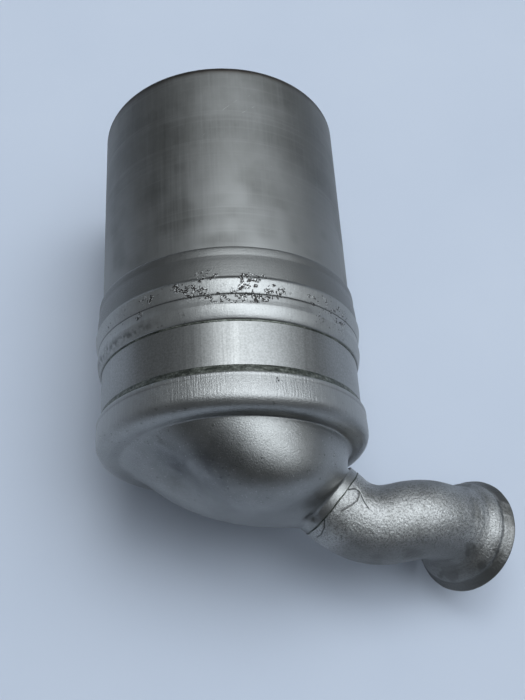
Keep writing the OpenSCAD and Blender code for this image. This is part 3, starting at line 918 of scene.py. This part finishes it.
def segment_mesh(name, column, row):
    """One square segment of the honeycomb, trimmed to the round core, with alternate cells plugged."""
    core = BLOCK_R - SKIN
    pitch = SEGMENT + JOINT
    x0, z0 = (column - 1.5) * pitch - SEGMENT / 2, -(row - 1.5) * pitch - SEGMENT / 2
    cell = SEGMENT / CELLS
    verts, where, faces, slots = [], {}, [], []

    def vert(x, y, z):
        key = (round(x, 4), round(y, 4), round(z, 4))
        if key not in where:
            where[key] = len(verts)
            verts.append((x * MM, y * MM, z * MM))
        return where[key]

    def face(points, flip, slot):
        ids = [vert(*p) for p in points]
        faces.append(ids[::-1] if flip else ids)
        slots.append(slot)

    low, top = BLOCK_TOP - BLOCK_LEN, BLOCK_TOP
    edges = {}
    for i in range(CELLS):
        for j in range(CELLS):
            xa, za = x0 + i * cell, z0 + j * cell
            square = [(xa, za), (xa + cell, za), (xa + cell, za + cell), (xa, za + cell)]
            reach = [math.hypot(*p) for p in square]
            if min(reach) >= core and math.hypot(xa + cell / 2, za + cell / 2) > core:
                continue
            whole = max(reach) < core - 0.05
            poly = square
            if not whole:
                mid = math.atan2(za + cell / 2, xa + cell / 2)
                step = math.radians(1.0)
                for k in range(-4, 5):
                    t = round(mid / step) * step + k * step
                    poly = clip(poly, math.cos(t), math.sin(t), core * math.cos(step / 2))
                    if len(poly) < 3:
                        break
                if len(poly) < 3:
                    continue
            for a, b in zip(poly, poly[1:] + poly[:1]):
                ka, kb = (round(a[0], 4), round(a[1], 4)), (round(b[0], 4), round(b[1], 4))
                if ka == kb:
                    continue
                if (kb, ka) in edges:
                    del edges[(kb, ka)]
                else:
                    edges[(ka, kb)] = (a, b)
            for y, into, flip, odd in ((low, 1, False, 0), (top, -1, True, 1)):
                if not whole:
                    face(lift(y, *poly), flip, 0)
                    continue
                w = WEB / 2
                xb, zb = xa + cell - w, za + cell - w
                inner = [(xa + w, za + w), (xb, za + w), (xb, zb), (xa + w, zb)]
                is_open = (i + j + odd) % 2 == 0
                y2 = y + into * ((BLOCK_LEN - PLUG) if is_open else 0.3)
                for k in range(4):
                    a, b, c, d = square[k], square[(k + 1) % 4], inner[(k + 1) % 4], inner[k]
                    face(lift(y, a, b, c, d), flip, 0)
                    face(lift(y, d, c) + lift(y2, c, d), flip, 0)
                face(lift(y2, *inner), flip, 1)
    for a, b in edges.values():
        face(lift(low, a) + lift(top, a, b) + lift(low, b), False, 0)
    me = bpy.data.meshes.new(name)
    me.from_pydata(verts, [], faces)
    me.materials.append(BRICK)
    me.materials.append(PLUGS)
    me.polygons.foreach_set("material_index", slots)
    me.update()
    ob = bpy.data.objects.new(name, me)
    bpy.context.scene.collection.objects.link(ob)
    return ob


for k in range(16):
    honeycomb = segment_mesh("honeycomb_%02d" % (k + 1), k % 4, k // 4)
    place(honeycomb, "segment_%02d" % (k + 1), slot="block_ceramic")


def knitted_ring(name, node, low):
    """Knitted wire seal: wavy wire rings in layers and levels."""
    inner, outer = BLOCK_R + 0.55, CAN_R - CAN_WALL - 0.62
    verts, quads = [], []
    turns = np.linspace(0, 2 * math.pi, 1080, endpoint=False)
    around = np.linspace(0, 2 * math.pi, 4, endpoint=False)
    loops, layers, levels, wire = 150, 3, 6, 0.15
    for layer in range(layers):
        for level in range(levels):
            phase = layer * 1.1 + level * math.pi
            r = inner + (outer - inner) * layer / (layers - 1) + 0.38 * np.sin(loops * turns + phase)
            rise = level * (SEAL_LEN - 1.9) / (levels - 1) + 0.72 * np.cos(loops * turns + phase * 1.7)
            r = r[:, None] + wire * np.cos(around)[None]
            y = (low + 0.95 + rise)[:, None] + wire * np.sin(around)[None]
            p = np.stack([r * np.sin(turns)[:, None], y, r * np.cos(turns)[:, None]], -1)
            quads.append(ring_quads(len(turns), len(around)) + len(quads) * r.size)
            verts.append(p.reshape(-1, 3))
    ob = mesh_from_arrays(name, np.concatenate(verts), np.concatenate(quads))
    place(ob, node, slot="seal_mesh", material=WIRE)


knitted_ring("inlet_seal_wires", "inlet_mesh_seal", BLOCK_TOP - SEAL_LEN)
knitted_ring("outlet_seal_wires", "outlet_mesh_seal", BLOCK_TOP - BLOCK_LEN)

for node, material in (("support_mat", FIBRE), ("block_skin", CEMENT), ("segment_cement", CEMENT)):
    carried_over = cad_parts[node]
    carried_over.data.materials.clear()
    carried_over.data.materials.append(material)


# ---------------------------------------------------------------- stage, light and camera

def floor_material():
    """Pale matt board."""
    s = Shade("floor_pale")
    base = s.mix(s.noise(9, 3, 0.5), (0.575, 0.63, 0.73), (0.63, 0.68, 0.77))
    return s.finish(base, 0.75, 0.0)


half, level_z = 3.0, TABLE_Z * MM
me = bpy.data.meshes.new("floor")
corners = [(-half, -half, level_z), (half, -half, level_z), (half, half, level_z), (-half, half, level_z)]
me.from_pydata(corners, [], [(0, 1, 2, 3)])
floor = bpy.data.objects.new("floor", me)
bpy.context.scene.collection.objects.link(floor)
me.materials.append(floor_material())

# The sky is one large soft light: brightest towards SOFTBOX, dim everywhere else.
SOFTBOX = Vector((0.43, 0.12, 0.89)).normalized()
SKY_TINT, SKY_STRENGTH, RAMP_UNIT = (0.91, 0.99, 1.07), 4.4, 0.2
SKY = ((0.0, 0.17), (0.4, 0.17), (0.6, 0.20), (0.7, 0.29), (0.8, 0.55), (0.88, 1.2), (0.94, 2.5),
       (0.975, 4.0), (1.0, 4.4))
world = bpy.data.worlds.new("studio")
bpy.context.scene.world = world
world.use_nodes = True
wn, wl = world.node_tree.nodes, world.node_tree.links
toward = wn.new("ShaderNodeVectorMath")
toward.operation = "DOT_PRODUCT"
wl.new(wn.new("ShaderNodeTexCoord").outputs["Generated"], toward.inputs[0])
toward.inputs[1].default_value = SOFTBOX
glow = wn.new("ShaderNodeValToRGB")
glow.color_ramp.interpolation = "B_SPLINE"
while len(glow.color_ramp.elements) < len(SKY):
    glow.color_ramp.elements.new(0.5)
for el, (at, level) in zip(glow.color_ramp.elements, SKY):
    el.position = at
    el.color = (*(level * RAMP_UNIT * c for c in SKY_TINT), 1)
wl.new(toward.outputs["Value"], glow.inputs["Fac"])
bg = wn["Background"]
wl.new(glow.outputs["Color"], bg.inputs["Color"])
bg.inputs["Strength"].default_value = SKY_STRENGTH

key = bpy.data.lights.new("soft_key", "AREA")
key.energy, key.size, key.color = 4, 0.6, (0.93, 0.99, 1.04)
lamp = bpy.data.objects.new("soft_key", key)
bpy.context.scene.collection.objects.link(lamp)
lamp.location = (0.05, 0.45, 1.40)
lamp.rotation_mode = "QUATERNION"
lamp.rotation_quaternion = (-Vector(lamp.location)).to_track_quat("-Z", "Y")

cam_data = bpy.data.cameras.new("photo_camera")
cam_data.sensor_width = 36
# The taller side of the picture spans 7/9 of the distance.
cam_data.lens = cam_data.sensor_width * 9 / 7
cam_data.clip_start, cam_data.clip_end = 0.01, 20
cam = bpy.data.objects.new("photo_camera", cam_data)
bpy.context.scene.collection.objects.link(cam)
right = Vector((0.9983857, -0.0566604, 0.0039484))
up = Vector((0.0489710, 0.8939402, 0.4455028))
back = -Vector((0.0287720, 0.4445902, -0.8952719))
m = Matrix((right, up, back)).transposed().to_4x4()
m.translation = Vector((4.8136, -273.3693, 498.1490)) * MM
cam.matrix_world = m
bpy.context.scene.camera = cam
bpy.context.scene.view_settings.view_transform = "Standard"
